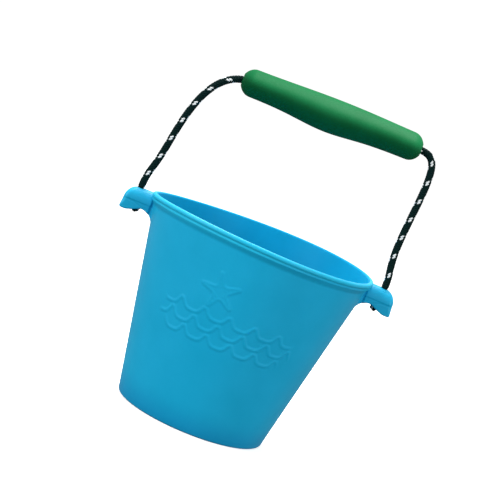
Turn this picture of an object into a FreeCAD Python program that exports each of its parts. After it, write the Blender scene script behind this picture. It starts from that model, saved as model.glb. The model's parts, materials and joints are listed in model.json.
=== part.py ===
"""Sand bucket: a soft moulded bucket with two hollow lugs, a knotted cord handle and a loose grip.

Millimetres. The origin is the centre of the flat underside, +Z is up, and X runs through both lugs.
Each node is one closed solid in parts/NODE.step.
"""
import FreeCAD, Part
import math
import os
from FreeCAD import Vector

# Bucket: a tapered wall with a flat floor and a rolled rim.
HEIGHT = 146.0
BASE_RADIUS = 57.0
RIM_RADIUS = 87.5
RIM_PROUD = 1.8
WALL = 1.9
FLOOR = 2.6
BASE_EDGE = 3.0
INNER_EDGE = 5.0
LIP_HEIGHT = 3.3
LIP_EDGE = 1.6
RIDGE_FOOT = 140.6
RIDGE_HEIGHT = 1.1
RIDGE_PROUD = 1.2
RIDGE_EDGE = 0.45
GROOVE = 0.5
TAPER = (RIM_RADIUS - RIM_PROUD - BASE_RADIUS) / HEIGHT

# Lugs: a round-topped hood on each side, open below, where the cord's knot sits.
LUG_TOP = 144.5
LUG_RADIUS = 9.5
LUG_INSET = 0.4
LUG_START = 88.4
LUG_END = 107.0
LUG_FOOT = 126.0
LUG_EDGE = 1.6
NECK_RADIUS = 7.4
NECK_TOP = 143.8
POCKET_RADIUS = 7.2
POCKET_START = 90.2
POCKET_END = 104.2
POCKET_TOP = 142.7
POCKET_CORNER = 7.0
HOLE_RADIUS = 3.1
HOLE_CENTRE = 96.9

# Points (x, z) that the right lug's side outline passes through, from its crown round to the wall.
LUG_SHOULDER = (99.0, LUG_TOP)
LUG_ELBOW = (104.2, 141.1)
LUG_WAIST = (106.4, 135.2)
LUG_HEEL = (102.0, LUG_FOOT)
LUG_SOLE = (96.6, 127.8)
LUG_CREST = (91.5, 130.2)
LUG_ARCH = (86.2, 129.3)
LUG_ROOT_RADIUS = 81.5

# Grip: a tube round the cord, fuller in the middle, mostly on its lower side.
GRIP_LENGTH = 141.4
GRIP_CENTRE = Vector(11.7, 0, 246.8)
GRIP_TILT = 0.8
GRIP_RADIUS = 10.35
GRIP_NOSE = 9.5
CROWN = 1.75
CROWN_CENTRE = 8.0
CROWN_HALF = 75.0
BELLY = 3.35
BELLY_CENTRE = -2.0
BELLY_WIDTH = 28.0
BORE_RADIUS = 3.4
MOUTH_RADIUS = 4.6
MOUTH_LENGTH = 8.0
NOSE_SECTIONS = 6
HALF_SECTIONS = 8

# Cord: one braided length. Each leg is a Bezier curve from its lug to the middle of the bore.
CORD_RADIUS = 2.5
MOUTH_HEIGHT = 145.0
PIVOT_HEIGHT = 153.0
BEND_TOP = 161.0
LEFT_LUG_X = -97.4
RIGHT_LUG_X = 96.5
LEFT_POLES = [(-97.4, 177.5), (-79.4, 148.0), (-107.9, 260.5)]
RIGHT_POLES = [(96.5, 172.2), (83.4, 151.5), (103.4, 253.8)]
LEFT_INNER = (-53.9, -46.0)
RIGHT_INNER = (100.2, 74.0)
KNOT_HEIGHT = 135.9
KNOT_RING = 3.5
KNOT_CORE = 4.4
KNOT_UPPER = 1.4
KNOT_LOWER = -2.2
KNOT_TILT = 0.25
TAIL_FOOT = 126.8
TAIL_LEAN = 1.6

Z = Vector(0, 0, 1)
X = Vector(1, 0, 0)


def side(x, z):
    """A point in the plane through both lugs."""
    return Vector(x, 0, z)


def wall_radius(z):
    """The wall's outer radius at a height."""
    return BASE_RADIUS + TAPER * z


def line(a, b):
    return Part.makeLine(a, b)


def arc(a, through, b):
    return Part.Arc(a, through, b).toShape()


def block(x0, x1, half_width, z0, z1):
    """A box between two x and two z values, centred on y = 0."""
    return Part.makeBox(x1 - x0, 2 * half_width, z1 - z0, Vector(x0, -half_width, z0))


def rounded_outline(corners):
    """A closed wire through corners (x, z, radius), each rounded by its own radius."""
    places = [side(x, z) for x, z, radius in corners]
    stops = []
    arcs = []
    for k, corner in enumerate(places):
        radius = corners[k][2]
        back = (places[k - 1] - corner).normalize()
        ahead = (places[(k + 1) % len(places)] - corner).normalize()
        half_angle = back.getAngle(ahead) / 2
        reach = radius / math.tan(half_angle)
        stops.append((corner + back * reach, corner + ahead * reach))
        if radius:
            inward = (back + ahead).normalize()
            middle = corner + inward * (radius / math.sin(half_angle) - radius)
            arcs.append(arc(stops[k][0], middle, stops[k][1]))
    lines = [line(stops[k - 1][1], stops[k][0]) for k in range(len(stops))]
    return Part.Wire(Part.__sortEdges__(lines + arcs))


def shell():
    """The bucket without its lugs: floor, tapered wall, ridge, groove and rolled lip, turned about Z."""
    lip_foot = HEIGHT - LIP_HEIGHT
    ridge_top = RIDGE_FOOT + RIDGE_HEIGHT
    ridge_radius = wall_radius(RIDGE_FOOT) + RIDGE_PROUD
    groove_radius = ridge_radius - GROOVE
    profile = rounded_outline([
        (0, 0, 0),
        (BASE_RADIUS, 0, BASE_EDGE),
        (wall_radius(RIDGE_FOOT), RIDGE_FOOT, 0),
        (ridge_radius, RIDGE_FOOT, RIDGE_EDGE),
        (ridge_radius, ridge_top, RIDGE_EDGE),
        (groove_radius, ridge_top, 0),
        (groove_radius, lip_foot, 0),
        (RIM_RADIUS, lip_foot, LIP_EDGE),
        (RIM_RADIUS, HEIGHT, LIP_EDGE),
        (wall_radius(HEIGHT) - WALL, HEIGHT, LIP_EDGE),
        (wall_radius(FLOOR) - WALL, FLOOR, INNER_EDGE),
        (0, FLOOR, 0),
    ])
    return Part.Face(profile).revolve(Vector(), Z, 360)


def inside_wall():
    """A cone that ends midway through the wall's thickness."""
    return Part.makeCone(wall_radius(0) - WALL / 2, wall_radius(HEIGHT) - WALL / 2, HEIGHT)


def lug_outline():
    """The side outline of the right lug, closed inside the bucket's wall."""
    inside = LUG_ROOT_RADIUS - WALL
    shoulder = side(*LUG_SHOULDER)
    waist = side(*LUG_WAIST)
    toe = side(LUG_END, LUG_FOOT + LUG_EDGE)
    sole = side(LUG_END - LUG_EDGE, LUG_FOOT)
    cut = LUG_EDGE * (1 - math.sqrt(0.5))
    heel = side(*LUG_HEEL)
    crest = side(*LUG_CREST)
    root = side(LUG_ROOT_RADIUS, (LUG_ROOT_RADIUS - BASE_RADIUS) / TAPER)
    return Part.Wire([
        line(side(inside, LUG_TOP), shoulder),
        arc(shoulder, side(*LUG_ELBOW), waist),
        line(waist, toe),
        arc(toe, side(LUG_END - cut, LUG_FOOT + cut), sole),
        line(sole, heel),
        arc(heel, side(*LUG_SOLE), crest),
        arc(crest, side(*LUG_ARCH), root),
        line(root, side(inside, root.z)),
        line(side(inside, root.z), side(inside, LUG_TOP)),
    ])


def hood(radius, skirt, x0, x1, axis_height):
    """A round-topped bar along X: a half cylinder over straight sides."""
    barrel = Part.makeCylinder(radius, x1 - x0, side(x0, axis_height), X)
    return barrel.fuse(block(x0, x1, skirt, LUG_FOOT - radius, axis_height))


def lug():
    """The right lug, solid: a wide hood and the narrower neck that joins it to the wall."""
    prism = Part.Face(lug_outline()).extrude(Vector(0, 2 * LUG_RADIUS, 0))
    prism.translate(Vector(0, -LUG_RADIUS, 0))
    skirt = LUG_RADIUS - LUG_INSET
    root = LUG_ROOT_RADIUS - WALL
    wide = hood(LUG_RADIUS, skirt, LUG_START, LUG_END + LUG_EDGE, LUG_TOP - LUG_RADIUS)
    neck = hood(NECK_RADIUS, NECK_RADIUS, root, LUG_START + LUG_EDGE, NECK_TOP - NECK_RADIUS)
    return prism.common(wide.fuse(neck)).cut(inside_wall())


def lug_pocket():
    """The hollow that holds the knot, open below, and the cord's hole through the top."""
    foot = LUG_FOOT - LUG_RADIUS
    outline = rounded_outline([
        (LUG_START, foot, 0),
        (POCKET_END, foot, 0),
        (POCKET_END, POCKET_TOP, POCKET_CORNER),
        (LUG_START, POCKET_TOP, 0),
    ])
    prism = Part.Face(outline).extrude(Vector(0, 2 * LUG_RADIUS, 0))
    prism.translate(Vector(0, -LUG_RADIUS, 0))
    hollow = hood(POCKET_RADIUS, POCKET_RADIUS, POCKET_START, LUG_END, LUG_TOP - LUG_RADIUS)
    hole = Part.makeCylinder(HOLE_RADIUS, LUG_RADIUS, side(HOLE_CENTRE, LUG_TOP - LUG_RADIUS / 2), Z)
    return hollow.common(prism).fuse(hole)


def mirrored(shape):
    return shape.mirror(Vector(), X)


def bucket_body():
    solid = shell().fuse([lug(), mirrored(lug())])
    return solid.cut([lug_pocket(), mirrored(lug_pocket())]).removeSplitter()


def grip_section(u):
    """The round section of the grip at u along its axis, as a wire."""
    crown = CROWN * math.cos(math.pi / 2 * min(1, abs(u - CROWN_CENTRE) / CROWN_HALF)) ** 2
    belly = BELLY * math.exp(-((u - BELLY_CENTRE) / BELLY_WIDTH) ** 2)
    past = max(0, abs(u) - (GRIP_LENGTH / 2 - GRIP_NOSE)) / GRIP_NOSE
    nose = math.sqrt(1 - past ** 2)
    radius = (GRIP_RADIUS + (crown + belly) / 2) * nose
    centre = side(u, (crown - belly) / 2 * nose)
    return Part.Wire(Part.makeCircle(radius, centre, X))


def grip_stations():
    """Where the sections stand: even along the middle, closer round the noses."""
    turn = math.acos(MOUTH_RADIUS / GRIP_RADIUS) / NOSE_SECTIONS
    straight = GRIP_LENGTH / 2 - GRIP_NOSE
    nose = [straight + GRIP_NOSE * math.sin(turn * k) for k in range(1, NOSE_SECTIONS + 1)]
    middle = [straight * k / HALF_SECTIONS for k in range(-HALF_SECTIONS, HALF_SECTIONS + 1)]
    return [-u for u in reversed(nose)] + middle + nose


def grip_bore():
    """The bore with its two flared mouths, along the grip's own axis."""
    end = GRIP_LENGTH / 2
    bore = Part.makeCylinder(BORE_RADIUS, 2 * end, side(-end, 0), X)
    flare = Part.makeCone(BORE_RADIUS, MOUTH_RADIUS, MOUTH_LENGTH, side(end - MOUTH_LENGTH, 0), X)
    return bore.fuse([flare, mirrored(flare)])


def grip():
    body = Part.makeLoft([grip_section(u) for u in grip_stations()], True)
    tube = body.cut(grip_bore())
    tube.rotate(Vector(), Vector(0, -1, 0), GRIP_TILT)
    tube.translate(GRIP_CENTRE)
    return tube


def on_axis(x):
    """The point of the bore's axis at x."""
    return side(x, GRIP_CENTRE.z + (x - GRIP_CENTRE.x) * math.tan(math.radians(GRIP_TILT)))


def leg_curve(lug_x, poles, inner):
    """One leg of the cord, from its lug's hole to the bore."""
    start = side(lug_x, MOUTH_HEIGHT)
    curve = Part.BezierCurve()
    curve.setPoles([start] + [side(x, z) for x, z in poles] + [on_axis(x) for x in inner])
    return curve.toShape()


def whole_cord():
    """The cord from one knot, up through its lug and the grip, and down to the other knot."""
    start = side(LEFT_LUG_X, KNOT_HEIGHT)
    path = Part.Wire([
        line(start, side(LEFT_LUG_X, MOUTH_HEIGHT)),
        leg_curve(LEFT_LUG_X, LEFT_POLES, LEFT_INNER),
        line(on_axis(LEFT_INNER[-1]), on_axis(RIGHT_INNER[-1])),
        leg_curve(RIGHT_LUG_X, RIGHT_POLES, RIGHT_INNER),
        line(side(RIGHT_LUG_X, MOUTH_HEIGHT), side(RIGHT_LUG_X, KNOT_HEIGHT)),
    ])
    round_section = Part.Wire(Part.makeCircle(CORD_RADIUS, start, Z))
    return path.makePipeShell([round_section], True, False)


def cord_between(low, high, side_sign):
    """The stretch of cord between two heights, on the left (-1), the right (1) or both sides (0)."""
    reach = LUG_END + LUG_RADIUS
    x0 = -reach if side_sign < 1 else 0
    x1 = reach if side_sign > -1 else 0
    return whole_cord().common(block(x0, x1, LUG_RADIUS, low, high)).Solids[0]


def stopper_knot(lug_x):
    """The knot under a lug's hole, with the cord's short tail below it."""
    centre = side(lug_x, KNOT_HEIGHT)
    tilt = X * math.copysign(KNOT_TILT, lug_x)
    upper = Part.makeTorus(KNOT_RING, CORD_RADIUS, centre + Z * KNOT_UPPER, Z + tilt)
    lower = Part.makeTorus(KNOT_RING, CORD_RADIUS, centre + Z * KNOT_LOWER, Z - tilt)
    core = Part.makeSphere(KNOT_CORE, centre)
    foot = side(lug_x - math.copysign(TAIL_LEAN, lug_x), TAIL_FOOT)
    tail = Part.makeCylinder(CORD_RADIUS, (centre - foot).Length, foot, centre - foot)
    return core.fuse([upper, lower, tail])


def cord_end(lug_x):
    """The length of cord that stays with a lug: tail, knot and the run up to the swing axis."""
    run = cord_between(KNOT_HEIGHT, PIVOT_HEIGHT, math.copysign(1, lug_x))
    return run.fuse(stopper_knot(lug_x)).removeSplitter()


def write(name, shape):
    """One closed solid to one STEP file."""
    solid = shape.Solids[0]
    assert len(shape.Solids) == 1 and solid.isValid(), name
    solid.exportStep(f"parts/{name}.step")
    box = solid.BoundBox
    print(f"{name:16s} {solid.Volume / 1000:8.2f} cm3  x {box.XMin:7.2f} {box.XMax:7.2f}"
          f"  y {box.YMin:7.2f} {box.YMax:7.2f}  z {box.ZMin:7.2f} {box.ZMax:7.2f}")


os.makedirs("parts", exist_ok=True)
write("bucket_body", bucket_body())
write("cord_end_left", cord_end(LEFT_LUG_X))
write("cord_end_right", cord_end(RIGHT_LUG_X))
write("cord_bend_left", cord_between(PIVOT_HEIGHT, BEND_TOP, -1))
write("cord_bend_right", cord_between(PIVOT_HEIGHT, BEND_TOP, 1))
write("cord_loop", cord_between(BEND_TOP, 2 * BEND_TOP, 0))
write("grip", grip())
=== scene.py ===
import bpy
import json
import math
import numpy as np
from mathutils import Matrix, Vector


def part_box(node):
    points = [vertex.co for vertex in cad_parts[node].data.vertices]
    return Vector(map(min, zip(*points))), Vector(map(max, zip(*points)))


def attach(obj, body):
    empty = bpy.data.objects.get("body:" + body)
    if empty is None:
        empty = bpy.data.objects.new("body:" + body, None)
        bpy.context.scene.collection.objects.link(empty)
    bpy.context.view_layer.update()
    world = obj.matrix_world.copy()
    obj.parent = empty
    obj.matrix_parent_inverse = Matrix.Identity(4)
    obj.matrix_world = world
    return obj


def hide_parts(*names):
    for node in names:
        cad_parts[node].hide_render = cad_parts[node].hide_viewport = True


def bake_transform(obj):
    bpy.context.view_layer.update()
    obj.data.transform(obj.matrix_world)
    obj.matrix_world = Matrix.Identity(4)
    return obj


# Shapes are worked out in millimetres in the part's own frame, and become metres when a mesh is made.
MM = 0.001

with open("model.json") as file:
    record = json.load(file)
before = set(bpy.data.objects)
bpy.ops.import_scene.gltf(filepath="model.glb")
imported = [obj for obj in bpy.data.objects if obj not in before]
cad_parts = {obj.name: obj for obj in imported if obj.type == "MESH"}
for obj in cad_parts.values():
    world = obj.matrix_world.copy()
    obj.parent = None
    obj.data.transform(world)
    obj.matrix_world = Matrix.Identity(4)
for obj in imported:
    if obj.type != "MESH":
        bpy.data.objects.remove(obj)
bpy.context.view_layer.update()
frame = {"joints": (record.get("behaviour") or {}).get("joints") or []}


def node_box(name):
    """Lowest and highest corner of a CAD node, in millimetres."""
    low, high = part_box(name)
    return np.array(low) / MM, np.array(high) / MM


joints = {joint["name"]: joint for joint in frame["joints"]}
BODY_HIGH = node_box("bucket_body")[1]
SWING = np.array(joints["handle_swing"]["pos_m"]) / MM
SPIN = np.array(joints["grip_spin"]["pos_m"]) / MM
SPIN_AXIS = np.array(joints["grip_spin"]["axis"])
SPIN_AXIS = SPIN_AXIS / np.linalg.norm(SPIN_AXIS)

# Bucket.
HEIGHT = BODY_HIGH[2]
BASE_RADIUS = 57.0
RIM_RADIUS = 87.5
RIM_PROUD = 1.8
WALL = 1.9
FLOOR = 2.6
BASE_EDGE = 1.8
INNER_EDGE = 5.0
LIP_HEIGHT = 3.3
LIP_EDGE = 1.55
RIDGE_FOOT = 140.6
RIDGE_FADE = 3.0
RIDGE_PROUD = 1.7
TAPER = (RIM_RADIUS - RIM_PROUD - BASE_RADIUS) / HEIGHT
SLOPE = math.atan(TAPER)
RIM_TWIST = 1.39
RIM_LIFT = 0.42

# Raised design on the front: heights are from the underside, widths run round the wall.
RELIEF = 0.32
RELIEF_LOW = 52.0
RELIEF_HIGH = 128.0
RELIEF_STEP = 0.75
PLAIN_STEP = 4.0
PLAIN_COLUMNS = 90
RELIEF_ANGLE = math.radians(46)
STAR_PLACE = (-13.0, 105.5)
STAR_ARM = 13.0
STAR_TURN = math.radians(12)
STAR_ROOT_HALF = 3.6
STAR_TIP_HALF = 1.3
STAR_BLEND = 2.2
# Each row of waves: middle height, half its width and swell.
WAVES = ((88.0, 54.0, 3.0), (79.0, 57.0, 3.2), (70.0, 50.0, 3.0))
WAVE_LENGTH = 19.0
WAVE_WIDTH = 1.0

# Lugs.
LUG_REACH = BODY_HIGH[0]
LUG_TOP = 144.5
LUG_RADIUS = 9.5
LUG_INSET = 0.3
INSET_FADE = 0.9
LUG_AXIS = LUG_TOP - LUG_RADIUS
LUG_START = 84.9
LUG_FOOT = 126.0
LUG_EDGE = 1.6
LUG_BACK_EDGE = 1.0
HOOD_EDGE = 0.9
HOOD_EDGE_RISE = 2.2
CREASE_HEIGHT = 133.4
CREASE_DEPTH = 0.15
CREASE_WIDTH = 0.5
NECK_RADIUS = 8.2
NECK_TOP = 143.8
NECK_EDGE = 0.9
NECK_FILLET = 0.8
ROOT_TOP = 142.6
POCKET_RADIUS = 7.2
POCKET_START = 90.2
POCKET_END = 104.2
POCKET_TOP = 142.7
POCKET_CORNER = 7.0
POCKET_EDGE = 0.7
POCKET_MOUTH_EDGE = 0.35
HOLE_RADIUS = 3.1
HOLE_CENTRE = 96.9
HOLE_EDGE = 0.45
LUG_STEP = 0.4
WALL_FILLET = 0.4

# Cord. The poles of each leg's curve are (x, z) from the hole to the grip; the inner ends are x in the bore.
CORD_RADIUS = 2.78
PIVOT_HEIGHT = SWING[2]
MOUTH_HEIGHT = PIVOT_HEIGHT - 8.0
LEFT_POLES = [(-97.4, 145.0), (-97.4, 177.5), (-79.4, 148.0), (-107.9, 260.5)]
RIGHT_POLES = [(96.5, 145.0), (96.5, 172.2), (83.4, 151.5), (103.4, 253.8)]
LEFT_INNER = (-53.9, -46.0)
RIGHT_INNER = (100.2, 74.0)
STRANDS = 8
STRAND_HALF_WIDTH = 0.64
STRAND_HALF_HEIGHT = 0.36
WEAVE_RADIUS = 1.86
WEAVE_RISE = 0.26
WEAVE_OUTSIDE = 2.48
CORE_RADIUS = 1.5
SEAL_RADIUS = 2.25
SEAL_LENGTH = 1.2
KNOT_CORD = 1.95
KNOT_TIGHTENING = 0.28

# Grip.
GRIP_LENGTH = 141.4
GRIP_RADIUS = 10.35
GRIP_NOSE = 9.5
CROWN = 1.75
CROWN_CENTRE = 8.0
CROWN_HALF = 75.0
BELLY = 3.35
BELLY_CENTRE = -2.0
BELLY_WIDTH = 28.0
LIP_RADIUS = 4.95
BORE_RADIUS = 3.4
MOUTH_LENGTH = 8.0
GRIP_FACET = 0.035

# Colours: the darker and the lighter tone of each material, and tints that multiply the bucket's: painted
# shade inside and low on the wall, and a painted highlight on the rim.
SILICONE = ((0.005, 0.365, 0.615), (0.008, 0.390, 0.655))
INSIDE_SHADE_TINT = (0.4, 0.74, 0.80, 1)
BASE_SHADE_TINT = (0.5, 0.70, 0.82, 1)
RIM_HIGHLIGHT_TINT = (2.0, 1.22, 1.12, 1)
DARK_YARN = ((0.0004, 0.007, 0.007), (0.001, 0.019, 0.018))
LIGHT_YARN = ((0.62, 0.68, 0.70), (0.85, 0.88, 0.88))
GRIP_GREEN = ((0.001, 0.180, 0.050), (0.003, 0.212, 0.064))
BACKDROP = ((0.90, 0.90, 0.90), (0.93, 0.93, 0.93))


def mesh_object(name, points, faces, smooth=True):
    """A mesh object from points in millimetres and a list of faces."""
    mesh = bpy.data.meshes.new(name)
    mesh.from_pydata((np.asarray(points) * MM).tolist(), [], [list(map(int, f)) for f in faces])
    mesh.update()
    mesh.polygons.foreach_set("use_smooth", np.full(len(mesh.polygons), smooth))
    made = bpy.data.objects.new(name, mesh)
    bpy.context.scene.collection.objects.link(made)
    return made


def ease(low, high, value):
    """Smoothly from 0 at low to 1 at high."""
    t = np.clip((value - low) / (high - low), 0, 1)
    return t * t * (3 - 2 * t)


def round_join(a, b, radius):
    """Distance to the union of two shapes, with a fillet between them."""
    bite = np.hypot(np.maximum(radius - a, 0), np.maximum(radius - b, 0))
    return np.maximum(radius, np.minimum(a, b)) - bite


def round_common(a, b, radius):
    """Distance to what two shapes share, with a rounded edge between them."""
    rise = np.hypot(np.maximum(radius + a, 0), np.maximum(radius + b, 0))
    return np.minimum(-radius, np.maximum(a, b)) + rise


# ---------------------------------------------------------------- shell


def wall_radius(z):
    """Radius of the tapered outside at a height."""
    return BASE_RADIUS + TAPER * z


def filleted(corners):
    """Points along an open profile of corners (r, z, radius), each corner rounded by its radius."""
    places = [np.array(c[:2], float) for c in corners]
    points = [places[0]]
    for k in range(1, len(corners) - 1):
        radius = corners[k][2]
        back = places[k - 1] - places[k]
        ahead = places[k + 1] - places[k]
        back /= np.linalg.norm(back)
        ahead /= np.linalg.norm(ahead)
        if not radius:
            points.append(places[k])
            continue
        half = math.acos(np.clip(back @ ahead, -1, 1)) / 2
        middle = (back + ahead) / np.linalg.norm(back + ahead)
        centre = places[k] + middle * radius / math.sin(half)
        first = places[k] + back * radius / math.tan(half) - centre
        last = places[k] + ahead * radius / math.tan(half) - centre
        sweep = math.pi - 2 * half
        count = max(3, int(math.ceil(sweep / math.radians(15))))
        for share in np.linspace(0, 1, count + 1):
            arc = first * math.sin((1 - share) * sweep) + last * math.sin(share * sweep)
            points.append(centre + arc / math.sin(sweep))
    points.append(places[-1])
    return points


def shell_profile():
    """(r, z) points up the outside, over the rim, down the inside and across the floor.

    The raised ring under the lip fades into the wall below it.
    """
    lip_foot = HEIGHT - LIP_HEIGHT
    ridge_radius = wall_radius(RIDGE_FOOT) + RIDGE_PROUD
    corners = filleted([
        (0, 0, 0),
        (BASE_RADIUS, 0, BASE_EDGE),
        (wall_radius(RIDGE_FOOT - RIDGE_FADE), RIDGE_FOOT - RIDGE_FADE, 5.0),
        (ridge_radius, RIDGE_FOOT + 0.3, 0.8),
        (ridge_radius, lip_foot - 0.4, 0.9),
        (RIM_RADIUS, lip_foot + 0.8, 1.4),
        (RIM_RADIUS, HEIGHT, LIP_EDGE),
        (wall_radius(HEIGHT) - WALL, HEIGHT, LIP_EDGE),
        (wall_radius(FLOOR) - WALL, FLOOR, INNER_EDGE),
        (0, FLOOR, 0),
    ])
    # Short steps up the outside where the raised design is, and long ones elsewhere.
    points = [corners[0]]
    for end in corners[1:]:
        start = points[-1]
        length = np.linalg.norm(end - start)
        at = 0.0
        while True:
            place = start + (end - start) * at / length
            outside = place[0] > wall_radius(place[1]) - WALL / 2 and RELIEF_LOW < place[1] < RELIEF_HIGH
            at += RELIEF_STEP if outside else PLAIN_STEP
            if at > length - 0.4 * RELIEF_STEP:
                break
            points.append(start + (end - start) * at / length)
        points.append(end)
    return np.array(points)


def shell_angles():
    """Angles round the wall, close together across the raised design."""
    front = -math.pi / 2
    fine = RELIEF_STEP / wall_radius((RELIEF_LOW + RELIEF_HIGH) / 2)
    dense = np.linspace(front - RELIEF_ANGLE, front + RELIEF_ANGLE, int(2 * RELIEF_ANGLE / fine))
    coarse = np.linspace(front + RELIEF_ANGLE, front + 2 * math.pi - RELIEF_ANGLE, PLAIN_COLUMNS + 1)
    return np.concatenate([dense, coarse[1:-1]])


def star_height(u, v):
    """A five-armed starfish: a soft body, an edge line, and a row of bumps down each arm."""
    u = u - STAR_PLACE[0]
    v = v - STAR_PLACE[1]
    near = np.full(u.shape, 1e9)
    bumps = np.zeros(u.shape)
    for arm in range(5):
        turn = STAR_TURN + 2 * math.pi * arm / 5 + math.pi / 2
        tip = np.array([math.cos(turn), math.sin(turn)]) * STAR_ARM
        along = np.clip((u * tip[0] + v * tip[1]) / STAR_ARM ** 2, 0, 1)
        half = STAR_ROOT_HALF + (STAR_TIP_HALF - STAR_ROOT_HALF) * along
        away = np.hypot(u - along * tip[0], v - along * tip[1]) - half
        mix = np.clip(0.5 + 0.5 * (near - away) / STAR_BLEND, 0, 1)
        near = near * (1 - mix) + away * mix - STAR_BLEND * mix * (1 - mix)
        for spot in (0.3, 0.5, 0.7):
            distance = np.hypot(u - spot * tip[0], v - spot * tip[1])
            bumps = np.maximum(bumps, np.exp(-(distance / 0.7) ** 2))
    body = 0.5 * ease(0.3, -0.7, near)
    edge = 0.9 * np.exp(-((near + 0.5) / 0.7) ** 2)
    return body + edge + 0.4 * bumps


def wave_height(u, v):
    """Three rows of rolling wave crests."""
    height = np.zeros(u.shape)
    for row, (level, half, swell) in enumerate(WAVES):
        phase = 2 * math.pi * u / WAVE_LENGTH + 1.9 * row
        lean = phase + 0.75 * np.sin(phase)
        crest = level + swell * np.cos(lean)
        slope = swell * np.sin(lean) * (1 + 0.75 * np.cos(phase)) * 2 * math.pi / WAVE_LENGTH
        away = np.abs(v - crest) / np.sqrt(1 + slope ** 2)
        fade = ease(half, half - 4, np.abs(u))
        height = np.maximum(height, fade * ease(WAVE_WIDTH + 0.6, WAVE_WIDTH - 0.5, away))
    return height


def relief(angle, z):
    """Height of the raised design, in millimetres."""
    u = (angle + math.pi / 2) * wall_radius((RELIEF_LOW + RELIEF_HIGH) / 2)
    return RELIEF * np.clip(np.maximum(star_height(u, z), wave_height(u, z)), 0, 1)


def shell():
    """The bucket's wall, floor and rim, turned about Z, with the raised design and a warped rim."""
    profile = shell_profile()
    angles = shell_angles()
    rows, columns = len(profile) - 2, len(angles)
    r, angle = np.meshgrid(profile[1:-1, 0], angles, indexing="ij")
    z = np.repeat(profile[1:-1, 1][:, None], columns, 1)
    outer = (r > wall_radius(z) - WALL / 2) & (z > RELIEF_LOW) & (z < RELIEF_HIGH)
    lift = np.where(outer, relief(angle, z), 0)
    r = r + lift * math.cos(SLOPE)
    z = z - lift * math.sin(SLOPE)
    z = z + (z / HEIGHT) ** 2 * (RIM_TWIST * np.sin(2 * angle) - RIM_LIFT * np.cos(2 * angle))
    points = np.stack([r * np.cos(angle), r * np.sin(angle), z], -1).reshape(-1, 3)
    i, j = np.meshgrid(np.arange(rows - 1), np.arange(columns), indexing="ij")
    right = (j + 1) % columns
    here, above = i * columns, (i + 1) * columns
    faces = np.stack([here + j, here + right, above + right, above + j], -1).reshape(-1, 4).tolist()
    underside, floor_top = len(points), len(points) + 1
    points = np.vstack([points, [0, 0, profile[0, 1]], [0, 0, profile[-1, 1]]])
    last = (rows - 1) * columns
    for k in range(columns):
        after = (k + 1) % columns
        faces.append([underside, after, k])
        faces.append([floor_top, last + k, last + after])
    return mesh_object("bucket", points, faces)


# ---------------------------------------------------------------- lugs


def arc_points(a, through, b, count=10):
    """Points on the circle from a through a middle point to b, without a itself."""
    a, m, b = (np.array(p, float) for p in (a, through, b))
    rows = np.array([m - a, b - a]) * 2
    centre = np.linalg.solve(rows, [m @ m - a @ a, b @ b - a @ a])
    angles = np.unwrap([math.atan2(*(p - centre)[::-1]) for p in (a, m, b)])
    radius = np.linalg.norm(a - centre)
    at = np.linspace(angles[0], angles[2], count + 1)[1:]
    return [centre + radius * np.array([math.cos(t), math.sin(t)]) for t in at]


def lug_outline():
    """The lug's side outline, as a closed polygon of (x, z)."""
    cut = LUG_EDGE * (1 - math.sqrt(0.5))
    shoulder, waist = (99.0, LUG_TOP), (106.4, 135.2)
    toe, sole = (LUG_REACH, LUG_FOOT + LUG_EDGE), (LUG_REACH - LUG_EDGE, LUG_FOOT)
    heel, crest, root = (102.0, LUG_FOOT), (91.5, 130.2), (81.5, 124.6)
    points = [np.array((76.0, LUG_TOP)), np.array(shoulder)]
    points += arc_points(shoulder, (104.2, 141.1), waist, 14)
    points += [np.array(toe)]
    points += arc_points(toe, (LUG_REACH - cut, LUG_FOOT + cut), sole, 6)
    points += [np.array(heel)]
    points += arc_points(heel, (96.6, 127.8), crest, 10)
    points += arc_points(crest, (86.2, 129.3), root, 10)
    points += [np.array((76.0, 121.0))]
    return np.array(points)


OUTLINE = lug_outline()


def outline_distance(x, z):
    """Signed distance to the side outline, below zero inside."""
    near = np.full(x.shape, 1e9)
    inside = np.zeros(x.shape, bool)
    for a, b in zip(OUTLINE, np.roll(OUTLINE, -1, 0)):
        ex, ez = b - a
        t = np.clip(((x - a[0]) * ex + (z - a[1]) * ez) / (ex * ex + ez * ez), 0, 1)
        near = np.minimum(near, np.hypot(x - a[0] - t * ex, z - a[1] - t * ez))
        spans = (a[1] > z) != (b[1] > z)
        with np.errstate(divide="ignore", invalid="ignore"):
            crossing = a[0] + (z - a[1]) * ex / ez
        inside ^= spans & (x < crossing)
    return np.where(inside, -near, near)


def hood_distance(y, z, radius, axis):
    """Distance to a round-topped bar along X: a half cylinder over straight sides."""
    return np.where(z > axis, np.hypot(y, z - axis), np.abs(y)) - radius


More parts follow.
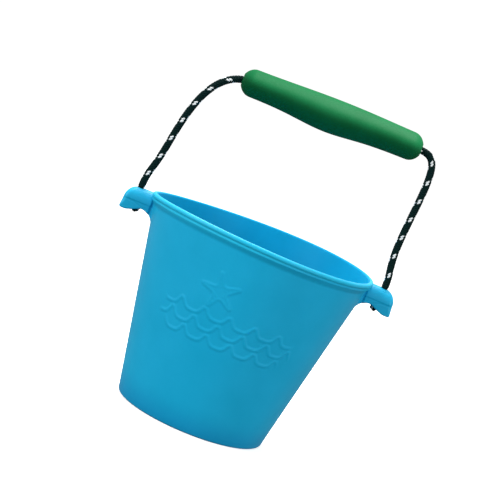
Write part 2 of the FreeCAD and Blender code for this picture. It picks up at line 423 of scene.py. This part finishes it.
def lug_distance(p):
    """Signed distance to the right lug, hollow, with its root sunk in the bucket's wall."""
    x, y, z = p.T
    outline = outline_distance(x, z)
    # The hood: the skirt is set in a little, a parting line dips towards the wall, and the outer
    # top is rounder.
    inset = LUG_INSET * ease(LUG_AXIS, LUG_AXIS - INSET_FADE, z)
    crease = CREASE_HEIGHT - 2.2 * ease(99, 90, x) + 0.3 * ease(99, 104, x)
    groove = CREASE_DEPTH * np.exp(-((z - crease) / CREASE_WIDTH) ** 2) * ease(105.5, 103, x)
    edge = HOOD_EDGE + HOOD_EDGE_RISE * ease(97, 104, x) * ease(127, 133, z)
    wide = hood_distance(y, z, LUG_RADIUS, LUG_AXIS) + inset + groove
    wide = round_common(wide, outline, edge)
    wide = round_common(wide, LUG_START - x, LUG_BACK_EDGE)
    # The narrower neck, from the wall to the hood.
    neck = hood_distance(y, z, NECK_RADIUS, NECK_TOP - NECK_RADIUS)
    neck = round_common(round_common(neck, outline, NECK_EDGE), x - LUG_START - 3, 0.5)
    solid = round_join(wide, neck, NECK_FILLET)
    # A fillet to the wall, and nothing further in than half of the wall.
    wall = (np.hypot(x, y) - wall_radius(z)) * math.cos(SLOPE)
    skin = round_common(wall + 0.04, z - ROOT_TOP, 0.5)
    joined = round_join(solid, skin, WALL_FILLET)
    joined = np.maximum(joined, np.maximum(-WALL / 2 - wall, solid - WALL_FILLET - 1.2))
    # The hollow under the hood, open below, and the hole up through its roof.
    pocket = np.maximum(round_common(x - POCKET_END, z - POCKET_TOP, POCKET_CORNER), POCKET_START - x)
    pocket = round_common(pocket, hood_distance(y, z, POCKET_RADIUS, LUG_AXIS), POCKET_EDGE)
    hole = np.maximum(np.hypot(x - HOLE_CENTRE, y) - HOLE_RADIUS, LUG_AXIS + 3 - z)
    return round_common(round_common(joined, -pocket, POCKET_MOUTH_EDGE), -hole, HOLE_EDGE)


def surface_net(distance, low, high, step):
    """Points and quads on the zero surface of a distance function."""
    axes = [np.arange(a, b + step, step) for a, b in zip(low, high)]
    grid = np.stack(np.meshgrid(*axes, indexing="ij"), -1)
    shape = grid.shape[:3]
    value = distance(grid.reshape(-1, 3)).reshape(shape)
    inside = value < 0
    # One point in each cell that the surface passes through, at the mean of its edge crossings.
    cells = tuple(n - 1 for n in shape)
    total = np.zeros(cells + (3,))
    hits = np.zeros(cells)
    corners = [(a, b, c) for a in (0, 1) for b in (0, 1) for c in (0, 1)]

    def at(array, corner):
        return array[tuple(slice(c, c + n) for c, n in zip(corner, cells))]

    for corner in corners:
        for axis in range(3):
            if corner[axis]:
                continue
            other = tuple(1 if k == axis else c for k, c in enumerate(corner))
            v0, v1 = at(value, corner), at(value, other)
            change = (v0 < 0) != (v1 < 0)
            share = np.where(change, v0 / np.where(change, v0 - v1, 1), 0)
            place = at(grid, corner) + share[..., None] * (at(grid, other) - at(grid, corner))
            total += place * change[..., None]
            hits += change
    mixed = hits > 0
    index = np.full(cells, -1)
    index[mixed] = np.arange(mixed.sum())
    points = total[mixed] / hits[mixed][:, None]
    # Each point is then drawn onto the surface, along the slope of the distance.
    for _ in range(4):
        here = distance(points)
        slope = np.stack([(distance(points + d) - distance(points - d)) / 0.04 for d in np.eye(3) * 0.02], -1)
        size = np.maximum((slope ** 2).sum(1), 0.25)
        move = slope * (here / size)[:, None]
        length = np.linalg.norm(move, axis=1)
        points = points - move * np.minimum(1, 0.3 * step / np.maximum(length, 1e-9))[:, None]
    # A quad joins the four cells round each grid line that the surface crosses.
    quads = []
    for axis in range(3):
        u, v = (axis + 1) % 3, (axis + 2) % 3
        one = [slice(None)] * 3
        two = [slice(None)] * 3
        one[axis], two[axis] = slice(0, -1), slice(1, None)
        start, end = inside[tuple(one)], inside[tuple(two)]
        spots = np.argwhere(start != end)
        keep = np.all([(spots[:, k] > 0) & (spots[:, k] < cells[k]) for k in (u, v)], 0)
        spots = spots[keep]
        leaving = start[tuple(spots.T)]
        around = []
        for du, dv in ((-1, -1), (0, -1), (0, 0), (-1, 0)):
            place = spots.copy()
            place[:, u] += du
            place[:, v] += dv
            around.append(index[tuple(place.T)])
        quad = np.stack(around, -1)
        quads.append(np.where(leaving[:, None], quad, quad[:, ::-1]))
    return points, np.vstack(quads)


def lug(sign):
    """One lug, on the right for 1 and on the left for -1."""
    low = (77.0, -12.5, 119.0)
    high = (LUG_REACH + 1.0, 12.5, LUG_TOP + 1.5)
    points, quads = surface_net(lug_distance, low, high, LUG_STEP)
    if sign < 0:
        points = points * (-1, 1, 1)
        quads = quads[:, ::-1]
    return mesh_object("lug", points, quads)


def merged(main, others):
    """main with the other solids united into it."""
    for other in others:
        step = main.modifiers.new("union", "BOOLEAN")
        step.operation = "UNION"
        step.solver = "MANIFOLD"
        step.object = other
    graph = bpy.context.evaluated_depsgraph_get()
    mesh = bpy.data.meshes.new_from_object(main.evaluated_get(graph))
    main.modifiers.clear()
    main.data = mesh
    mesh.polygons.foreach_set("use_smooth", np.full(len(mesh.polygons), True))
    for other in others:
        bpy.data.objects.remove(other)
    return main


# ---------------------------------------------------------------- cord


def evenly(points, count):
    """The polyline resampled at equal spacing."""
    steps = np.linalg.norm(np.diff(points, axis=0), axis=1)
    far = np.concatenate([[0], np.cumsum(steps)])
    at = np.linspace(0, far[-1], count)
    return np.stack([np.interp(at, far, points[:, k]) for k in range(3)], -1)


def length_of(points):
    """The polyline's length."""
    return np.linalg.norm(np.diff(points, axis=0), axis=1).sum()


def knot_path():
    """The middle of an overhand knot drawn up inside a lug, from its tail up to the hole.

    x is outward from the hole, and z is from the lug's axis. The cord is pulled tight, kept out of
    its own way and kept inside the pocket, over and over.
    """
    spacing = 0.8
    inward, outward, hood = -4.1, 4.6, 5.0
    corner_height, corner_radius = 0.7, 4.5
    # A loose overhand knot, from below the hole down to the tail, which leans inward.
    t = np.linspace(1.95, -1.95, 200)
    loops = np.stack([(t ** 4 - 4 * t * t) * 1.2 + 1, (t ** 5 / 5 - 2 * t) * 2.4, (t ** 3 - 3 * t) * 1.3], -1)
    top, neck = np.array([0, 0, 9.2]), np.array([0, 0, 5.4])
    foot, tail = np.array([-0.5, 0, -5.6]), np.array([-1.6, 0, -8.6])
    rise = (foot - tail) / np.linalg.norm(foot - tail)
    p = np.vstack([[top, neck], loops, [foot, tail]])
    for step in range(700):
        # Both ends are held, and the points are spaced evenly again now and then.
        if step % 10 == 0:
            count = int(length_of(p) / spacing)
            p = evenly(p, count)
            order = np.arange(count)
            gap = np.abs(np.subtract.outer(order, order)) * spacing
            held = p.copy()
            held[:5] = top - np.outer(order[:5] * spacing, (0, 0, 1))
            held[-4:] = tail + np.outer(order[3::-1] * spacing, rise)
            fixed = ((order < 5) | (order >= count - 4))[:, None]
        # Pulled tight: each point moves towards the middle of its neighbours.
        p[1:-1] += ((p[:-2] + p[2:]) / 2 - p[1:-1]) * 0.35
        for _ in range(3):
            # Stretches that are far apart along the cord push each other away where they meet.
            apart = p[:, None] - p[None]
            r = np.linalg.norm(apart, axis=2) + 1e-9
            close = (r < 2 * KNOT_CORD) & (gap > 2.8 * KNOT_CORD)
            push = (np.where(close, (2 * KNOT_CORD - r) / 2, 0) / r)[..., None] * apart
            move = push.sum(1) / np.maximum(close.sum(1), 1)[:, None]
            size = np.linalg.norm(move, axis=1)[:, None]
            p = p + move * np.minimum(1, 0.4 / np.maximum(size, 1e-9))
            # The pocket's walls, its round roof and its rounded outer corner.
            p[:, 0] = np.clip(p[:, 0], inward, outward)
            across = np.hypot(p[:, 1], np.maximum(p[:, 2], 0))
            shrink = np.minimum(1, hood / np.maximum(across, 1e-6))
            p[:, 1] *= shrink
            p[:, 2] = np.where(p[:, 2] > 0, p[:, 2] * shrink, np.maximum(p[:, 2], -4.6))
            corner = np.hypot(p[:, 0], p[:, 2] - corner_height)
            outer = (p[:, 0] > 0) & (p[:, 2] > corner_height) & (corner > corner_radius)
            pull = np.where(outer, corner_radius / np.maximum(corner, 1e-6), 1)
            p[:, 0] *= pull
            p[:, 2] = np.where(outer, corner_height + (p[:, 2] - corner_height) * pull, p[:, 2])
            p = np.where(fixed, held, p)
    # The tail leans a little further towards the wall.
    p = p + ease(-4.0, -8.4, p[:, 2:]) * (-1.2, 0, 0)
    return p[::-1]


def bezier(poles, count):
    """Points on a Bezier curve through its first and last pole."""
    t = np.linspace(0, 1, count)[:, None]
    degree = len(poles) - 1
    return sum(math.comb(degree, k) * (1 - t) ** (degree - k) * t ** k * np.array(pole, float)
               for k, pole in enumerate(poles))


def on_axis(x):
    """The point of the bore's axis at x, as (x, z)."""
    return (x, SPIN[2] + (x - SPIN[0]) * SPIN_AXIS[2] / SPIN_AXIS[0])


def side_path(sign, poles, inner, knot):
    """The middle of one side's cord, from its tail to the middle of the grip, every 0.1 mm."""
    turned = knot * (sign, sign, 1) + (poles[0][0], 0, LUG_AXIS)
    leg = bezier(poles + [on_axis(x) for x in inner], 600)
    leg = np.stack([leg[:, 0], np.zeros(len(leg)), leg[:, 1]], -1)
    end = on_axis(SPIN[0])
    path = np.vstack([turned, leg, [[end[0], 0, end[1]]]])
    fine = evenly(path, int(length_of(path) / 0.1))
    # A little smoothing takes out the corners where the stretches meet.
    reach = 24
    kernel = np.exp(-(np.arange(-reach, reach + 1) / 9.0) ** 2)
    kernel /= kernel.sum()
    padded = np.pad(fine, ((reach, reach), (0, 0)), "edge")
    soft = np.stack([np.convolve(padded[:, k], kernel, "valid") for k in range(3)], -1)
    soft[0], soft[-1] = fine[0], fine[-1]
    return soft


def carried_frame(path):
    """Tangents and two normals along a path that never twist about it."""
    tangent = np.gradient(path, axis=0)
    tangent /= np.linalg.norm(tangent, axis=1)[:, None]
    normal = np.zeros_like(path)
    normal[0] = np.cross(tangent[0], (1, 0, 0))
    normal[0] /= np.linalg.norm(normal[0])
    for k in range(1, len(path)):
        n = normal[k - 1] - (normal[k - 1] @ tangent[k]) * tangent[k]
        normal[k] = n / np.linalg.norm(n)
    return tangent, normal, np.cross(tangent, normal)


def braided_cord(name, path, pitch, front_at):
    """Sixteen strands, two over and two under, round a plain core.

    front_at is how far along the path a pair of light flecks faces the front.
    """
    step = pitch / (4 * STRANDS)
    count = int(length_of(path) / step)
    path = evenly(path, count)
    s = np.linspace(0, length_of(path), count)
    tangent, normal, side = carried_frame(path)
    # The angle of the front, where the cord passes through the hole.
    mouth = int(np.argmin(np.abs(path[:, 2] - MOUTH_HEIGHT) + np.abs(path[:, 1]) * 5))
    front = math.atan2(-side[mouth][1], -normal[mouth][1])
    knotted = (1 - ease(LUG_TOP - 3, LUG_TOP + 1.5, path[:, 2])) * ease(1.5, 5, s)
    scale = CORD_RADIUS / WEAVE_OUTSIDE * (1 - KNOT_TIGHTENING * knotted)
    # The strands close in on the sealed end.
    closing = 0.5 * (1 - ease(0.0, 1.6, s))
    turn = 2 * math.pi / pitch
    sigma = s - front_at - pitch / (4 * STRANDS)
    points, faces, slots, uvs = [], [], [], []
    total = 0

    def tube(centre, across, outward, half_width, half_height, slot, corners):
        nonlocal total
        angles = np.arange(corners) * 2 * math.pi / corners
        rings = (centre[:, None]
                 + across[:, None] * (np.cos(angles)[None, :, None] * half_width[:, None, None])
                 + outward[:, None] * (np.sin(angles)[None, :, None] * half_height[:, None, None]))
        points.append(rings.reshape(-1, 3))
        n = len(centre)
        i, j = np.meshgrid(np.arange(n - 1), np.arange(corners), indexing="ij")
        right = (j + 1) % corners
        here, after = i * corners, (i + 1) * corners
        quad = np.stack([here + j, here + right, after + right, after + j], -1)
        faces.extend((quad.reshape(-1, 4) + total).tolist())
        faces.append([total + k for k in reversed(range(corners))])
        faces.append([total + (n - 1) * corners + k for k in range(corners)])
        slots.extend([slot] * (quad.shape[0] * quad.shape[1] + 2))
        along = np.repeat(s[:n], corners)
        uvs.append(np.stack([along, np.tile(angles / (2 * math.pi), n)], -1))
        total += n * corners

    for way in (1, -1):
        for strand in range(STRANDS):
            first = front - 2 * math.pi / (4 * STRANDS) + 2 * math.pi * strand / STRANDS
            angle = first + way * turn * sigma
            # Two over and two under the strands that go round the other way.
            crossing = 2 * strand + way * 2 * STRANDS * sigma / pitch
            wave = way * np.cos(2 * math.pi * (crossing - 0.5) / 4)
            over = np.tanh(1.8 * wave) / math.tanh(1.8)
            radius = (WEAVE_RADIUS + WEAVE_RISE * over) * scale - closing
            outward = np.cos(angle)[:, None] * normal + np.sin(angle)[:, None] * side
            centre = path + outward * radius[:, None]
            along = np.gradient(centre, axis=0)
            along /= np.linalg.norm(along, axis=1)[:, None]
            across = np.cross(outward, along)
            across /= np.linalg.norm(across, axis=1)[:, None]
            lifted = np.cross(along, across)
            light = way > 0 and strand < 2
            width, thickness = STRAND_HALF_WIDTH * scale, STRAND_HALF_HEIGHT * scale
            tube(centre, across, lifted, width, thickness, int(light), 6)
    # The core starts as a rounded, sealed end and thins behind it.
    core = SEAL_RADIUS + (CORE_RADIUS - SEAL_RADIUS) * ease(SEAL_LENGTH, 2 * SEAL_LENGTH, s)
    rounded = SEAL_RADIUS * np.sqrt(np.clip(s / SEAL_LENGTH, 0.02, 1))
    core = np.where(s < SEAL_LENGTH, rounded, core) * scale
    tube(path - tangent * 0.4, normal, side, core, core, 0, 12)
    made = mesh_object(name, np.vstack(points), faces)
    made.data.polygons.foreach_set("material_index", np.array(slots, np.int32))
    layer = made.data.uv_layers.new(name="yarn")
    vertex = np.zeros(len(made.data.loops), np.int32)
    made.data.loops.foreach_get("vertex_index", vertex)
    layer.data.foreach_set("uv", np.vstack(uvs)[vertex].astype(np.float32).ravel())
    return made


# ---------------------------------------------------------------- grip


def grip():
    """The grip: fuller in the middle, mostly below, with rounded ends and a flared bore."""
    straight = GRIP_LENGTH / 2 - GRIP_NOSE
    last = math.acos(LIP_RADIUS / GRIP_RADIUS)
    nose = straight + GRIP_NOSE * np.sin(np.linspace(0, last, 15)[1:])
    middle = np.linspace(-straight, straight, 111)
    outer = np.concatenate([-nose[::-1], middle, nose])
    crown = CROWN * np.cos(math.pi / 2 * np.clip(np.abs(outer - CROWN_CENTRE) / CROWN_HALF, 0, 1)) ** 2
    belly = BELLY * np.exp(-((outer - BELLY_CENTRE) / BELLY_WIDTH) ** 2)
    past = np.clip(np.abs(outer) - straight, 0, None) / GRIP_NOSE
    round_off = np.sqrt(1 - past ** 2)
    rings = list(zip(outer, (GRIP_RADIUS + (crown + belly) / 2) * round_off, (crown - belly) / 2 * round_off))
    end = nose[-1]
    # Round the lip and into the mouth: how far past the end, and the radius there.
    mouth = [(0.22, 4.72), (0.26, 4.5), (0.1, 4.28), (-0.5, 4.1), (-2.0, 3.95), (-4.0, 3.72)]
    lip = [(end + beyond, radius, 0.0) for beyond, radius in mouth + [(-MOUTH_LENGTH, BORE_RADIUS)]]
    rings += lip
    rings += [(u, BORE_RADIUS, 0.0) for u in np.linspace(end - MOUTH_LENGTH, MOUTH_LENGTH - end, 41)[1:-1]]
    rings += [(-u, r, z) for u, r, z in reversed(lip)]
    rings = np.array(rings)
    around = 96
    angles = np.arange(around) * 2 * math.pi / around
    u = np.repeat(rings[:, 0][:, None], around, 1)
    # Softly flattened flanks, fading out towards the bore.
    facet = GRIP_FACET * ease(BORE_RADIUS + 1, GRIP_RADIUS, rings[:, 1])[:, None] * (np.cos(4 * angles) - 1)
    radius = rings[:, 1][:, None] * (1 + facet)
    y = radius * np.cos(angles)
    z = radius * np.sin(angles) + rings[:, 2][:, None]
    local = np.stack([u, y, z], -1).reshape(-1, 3)
    upward = np.cross(SPIN_AXIS, (0, 1, 0))
    points = SPIN + local[:, :1] * SPIN_AXIS + local[:, 1:2] * np.array((0, 1, 0)) + local[:, 2:] * upward
    n = len(rings)
    i, j = np.meshgrid(np.arange(n), np.arange(around), indexing="ij")
    ahead, right = (i + 1) % n, (j + 1) % around
    faces = np.stack([i * around + j, i * around + right, ahead * around + right, ahead * around + j], -1)
    return mesh_object("grip_tube", points, faces.reshape(-1, 4))


# ---------------------------------------------------------------- looks


class Looks:
    """A material's node tree, with short calls to add and join nodes."""

    def __init__(self, name):
        self.material = bpy.data.materials.new(name)
        self.material.use_nodes = True
        self.tree = self.material.node_tree
        self.surface = self.tree.nodes["Principled BSDF"]

    def add(self, kind, settings=None, **inputs):
        """A new node with its settings, and its inputs set or joined."""
        made = self.tree.nodes.new("ShaderNode" + kind)
        for key, value in (settings or {}).items():
            setattr(made, key, value)
        for key, value in inputs.items():
            self.feed(made, key.replace("_", " "), value)
        return made

    def feed(self, target, key, value):
        """Sets an input to a value, or joins it to another node's first output."""
        if isinstance(value, bpy.types.Node):
            self.tree.links.new(value.outputs[0], target.inputs[key])
        elif isinstance(value, bpy.types.NodeSocket):
            self.tree.links.new(value, target.inputs[key])
        else:
            target.inputs[key].default_value = value

    def noise(self, where, scale, detail, rough):
        """Noise of 0..1 at a scale per metre."""
        made = self.add("TexNoise", Vector=where, Scale=scale, Detail=detail, Roughness=rough)
        return made.outputs["Fac"]

    def tones(self, value, colours):
        """A colour between two, over the middle of a noise's values."""
        made = self.add("ValToRGB", Fac=value)
        for element, place, colour in zip(made.color_ramp.elements, (0.3, 0.7), colours):
            element.position = place
            element.color = (*colour, 1)
        return made

    def tint(self, colour, by, share):
        """A colour multiplied by another, by a share of 0..1."""
        return self.add("MixRGB", {"blend_type": "MULTIPLY"}, Fac=share, Color1=colour, Color2=by)

    def maths(self, operation, *values):
        """The result of one sum on values or sockets."""
        made = self.add("Math", {"operation": operation})
        for k, value in enumerate(values):
            self.feed(made, k, value)
        return made.outputs[0]

    def fade(self, value, start, end):
        """Smoothly from 0 where the value is start to 1 where it is end."""
        settings = {"interpolation_type": "SMOOTHSTEP"}
        return self.add("MapRange", settings, Value=value, From_Min=start, From_Max=end).outputs[0]

    def span(self, value, low, high):
        """A value from 0..1 spread over low..high."""
        return self.add("MapRange", Value=value, To_Min=low, To_Max=high).outputs[0]

    def bump(self, height, strength, distance, below=None):
        made = self.add("Bump", Height=height, Strength=strength, Distance=distance)
        if below is not None:
            self.tree.links.new(below.outputs[0], made.inputs["Normal"])
        return made


def silicone():
    look = Looks("bucket_silicone")
    where = look.add("TexCoord").outputs["Object"]
    cloudy = look.noise(where, 38, 4, 0.55)
    colour = look.tones(cloudy, SILICONE)
    # How far out a point is, against the middle of the wall's thickness at its height.
    across = look.add("VectorMath", {"operation": "MULTIPLY"})
    look.feed(across, 0, where)
    look.feed(across, 1, (1, 1, 0))
    length = look.add("VectorMath", {"operation": "LENGTH"})
    look.feed(length, 0, across)
    reach = length.outputs["Value"]
    height = look.add("SeparateXYZ", Vector=where).outputs["Z"]
    middle = look.maths("MULTIPLY_ADD", height, TAPER, (BASE_RADIUS - WALL / 2) * MM)
    within = look.maths("LESS_THAN", reach, middle)
    above = look.maths("GREATER_THAN", height, FLOOR / 2 * MM)
    inside = look.maths("MULTIPLY", within, above)
    # Painted shade: the inside of the bucket is painted darker and deeper in colour, as where the rim keeps
    # the light out.
    colour = look.tint(colour, INSIDE_SHADE_TINT, inside)
    # Painted shade: the colour darkens towards the bottom of the bucket.
    colour = look.tint(colour, BASE_SHADE_TINT, look.fade(height, 24 * MM, -4 * MM))
    # Painted highlight: the rolled rim is painted a little paler than the wall, as where it catches the
    # light, on its outside and without the lugs.
    rim_highlight = look.fade(height, 140 * MM, 142.5 * MM)
    rim_highlight = look.maths("MULTIPLY", rim_highlight, look.maths("LESS_THAN", reach, (RIM_RADIUS + 0.3) * MM))
    rim_highlight = look.maths("MULTIPLY", rim_highlight, look.maths("SUBTRACT", 1.0, inside))
    look.feed(look.surface, "Base Color", look.tint(colour, RIM_HIGHLIGHT_TINT, rim_highlight))
    speckle = look.noise(where, 900, 2, 0.6)
    look.feed(look.surface, "Roughness", look.span(speckle, 0.40, 0.52))
    look.feed(look.surface, "Specular IOR Level", look.span(inside, 0.19, 0.03))
    look.feed(look.surface, "Subsurface Weight", 0.08)
    look.feed(look.surface, "Subsurface Radius", (0.2, 0.8, 1.0))
    look.feed(look.surface, "Subsurface Scale", 0.0015)
    grain = look.bump(speckle, 0.25, 0.00006)
    look.feed(look.surface, "Normal", look.bump(cloudy, 0.08, 0.0006, grain))
    return look.material


def yarn(name, colours, sheen, gloss):
    """Fibres along each strand, from the strand's own UV map."""
    look = Looks(name)
    where = look.add("UVMap", {"uv_map": "yarn"}).outputs["UV"]
    slanted = look.add("Mapping", Vector=where, Rotation=(0, 0, 0.25), Scale=(2.2, 26.0, 1.0)).outputs[0]
    fibres = look.noise(slanted, 1.0, 3, 0.6)
    look.feed(look.surface, "Base Color", look.tones(fibres, colours))
    look.feed(look.surface, "Roughness", look.span(fibres, 0.5, 0.72))
    look.feed(look.surface, "Specular IOR Level", gloss)
    look.feed(look.surface, "Sheen Weight", sheen)
    look.feed(look.surface, "Sheen Roughness", 0.4)
    look.feed(look.surface, "Normal", look.bump(fibres, 0.7, 0.00012))
    return look.material


def plastic():
    look = Looks("grip_plastic")
    where = look.add("TexCoord").outputs["Object"]
    cloudy = look.noise(where, 60, 4, 0.6)
    look.feed(look.surface, "Base Color", look.tones(cloudy, GRIP_GREEN))
    peel = look.noise(where, 620, 2, 0.55)
    look.feed(look.surface, "Roughness", look.span(peel, 0.46, 0.6))
    look.feed(look.surface, "Specular IOR Level", 0.16)
    look.feed(look.surface, "Normal", look.bump(peel, 0.35, 0.00012))
    return look.material


def floor_look():
    look = Looks("floor")
    where = look.add("TexCoord").outputs["Object"]
    mottle = look.noise(where, 3, 2, 0.5)
    look.feed(look.surface, "Base Color", look.tones(mottle, BACKDROP))
    look.feed(look.surface, "Roughness", 0.9)
    look.feed(look.surface, "Emission Color", (1, 1, 1, 1))
    look.feed(look.surface, "Emission Strength", 0.55)
    return look.material


# ---------------------------------------------------------------- build

body = merged(shell(), [lug(1), lug(-1)])
body.data.materials.clear()
body.data.materials.append(silicone())
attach(body, "bucket")
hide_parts("bucket_body")

knot = knot_path()
dark_yarn = yarn("cord_dark", DARK_YARN, 0.0, 0.07)
light_yarn = yarn("cord_light", LIGHT_YARN, 0.1, 0.3)
# Side, poles of the leg, ends of the bend inside the grip, braid's pitch, first fleck above the hole.
sides = {
    "left": (-1, LEFT_POLES, LEFT_INNER, 15.4, 11.4),
    "right": (1, RIGHT_POLES, RIGHT_INNER, 14.6, 9.6),
}
cords = []
for word, (sign, poles, inner, pitch, rise) in sides.items():
    path = side_path(sign, poles, inner, knot)
    below = length_of(path[:int(np.argmax(path[:, 2] > MOUTH_HEIGHT))])
    cord = braided_cord("cord_" + word, path, pitch, below + rise)
    cord.data.materials.append(dark_yarn)
    cord.data.materials.append(light_yarn)
    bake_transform(cord)
    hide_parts("cord_end_" + word, "cord_bend_" + word, "cord_loop")
    cords.append(cord)

grip_tube = grip()
grip_tube.data.materials.append(plastic())
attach(grip_tube, "grip")
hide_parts("grip")

# ---------------------------------------------------------------- stage, light, camera

scene = bpy.context.scene
scene.view_settings.view_transform = "Standard"

FLOOR_HALF = 4000.0
FLOOR_DROP = 0.2
corners = [(x * FLOOR_HALF, y * FLOOR_HALF, -FLOOR_DROP) for x, y in ((-1, -1), (1, -1), (1, 1), (-1, 1))]
floor = mesh_object("floor", corners, [[0, 1, 2, 3]], False)
floor.data.materials.append(floor_look())
# The floor shows the shadow and throws no light back on the bucket.
floor.visible_diffuse = False
floor.visible_glossy = False

# The camera sees a white backdrop; the bucket is lit by one that is dimmer from below.
world = bpy.data.worlds.new("studio")
scene.world = world
world.use_nodes = True
nodes, links = world.node_tree.nodes, world.node_tree.links
background = nodes["Background"]
seen = nodes.new("ShaderNodeBackground")
seen.inputs["Color"].default_value = (1, 1, 1, 1)
seen.inputs["Strength"].default_value = 1.05
background.inputs["Color"].default_value = (1, 1, 1, 1)
rays = nodes.new("ShaderNodeLightPath")
choose = nodes.new("ShaderNodeMixShader")
where = nodes.new("ShaderNodeTexCoord")
split = nodes.new("ShaderNodeSeparateXYZ")
height = nodes.new("ShaderNodeMapRange")
height.inputs["From Min"].default_value = -0.5
height.inputs["From Max"].default_value = 0.3
height.inputs["To Min"].default_value = 0.10
height.inputs["To Max"].default_value = 0.65
links.new(where.outputs["Generated"], split.inputs[0])
links.new(split.outputs["Z"], height.inputs["Value"])
links.new(height.outputs[0], background.inputs["Strength"])
links.new(rays.outputs["Is Camera Ray"], choose.inputs[0])
links.new(background.outputs[0], choose.inputs[1])
links.new(seen.outputs[0], choose.inputs[2])
links.new(choose.outputs[0], nodes["World Output"].inputs["Surface"])


def soft_light(name, place, target, size, power):
    light = bpy.data.lights.new(name, "AREA")
    light.shape = "SQUARE"
    light.size = size
    light.energy = power
    made = bpy.data.objects.new(name, light)
    scene.collection.objects.link(made)
    made.location = place
    made.rotation_euler = (Vector(target) - Vector(place)).to_track_quat("-Z", "Y").to_euler()
    return made


overhead = soft_light("overhead", (-0.15, 0.40, 1.15), (0, 0, 0.14), 0.7, 20.0)
grip_top = soft_light("grip_top", (0.12, -0.06, 1.0), (0.01, 0, 0.25), 0.5, 7.8)
front_left = soft_light("front_left", (-1.25, -0.78, 0.6), (0, 0, 0.06), 0.7, 16.5)
front_right = soft_light("front_right", (1.0, -1.0, 0.5), (0, 0, 0.06), 0.7, 9.5)

# The grip has a light of its own, from above only, which keeps its underside dark.
grip_only = bpy.data.collections.new("grip_only")
all_but_grip = bpy.data.collections.new("all_but_grip")
grip_only.objects.link(grip_tube)
for made in (body, floor, *cords):
    all_but_grip.objects.link(made)
grip_top.light_linking.receiver_collection = grip_only
for light in (overhead, front_left, front_right):
    light.light_linking.receiver_collection = all_but_grip

# Camera: turned about its own view line, so that the bucket leans.
LEAN = math.radians(22.54)
RISE = math.radians(6.44)
DISTANCE = 1.1
LENS = 107.5
target = Vector((-0.0057, 0, 0.1322))
back = Vector((0, -math.cos(RISE), math.sin(RISE)))
right = Vector((math.cos(LEAN), math.sin(LEAN) * math.sin(RISE), math.sin(LEAN) * math.cos(RISE)))
up = back.cross(right)
camera = bpy.data.objects.new("camera", bpy.data.cameras.new("camera"))
scene.collection.objects.link(camera)
camera.data.sensor_width = 36.0
camera.data.lens = LENS
camera.data.clip_start = 0.05
camera.data.clip_end = 50.0
turned = Matrix((right, up, back)).transposed().to_4x4()
camera.matrix_world = Matrix.Translation(target + back * DISTANCE) @ turned
scene.camera = camera
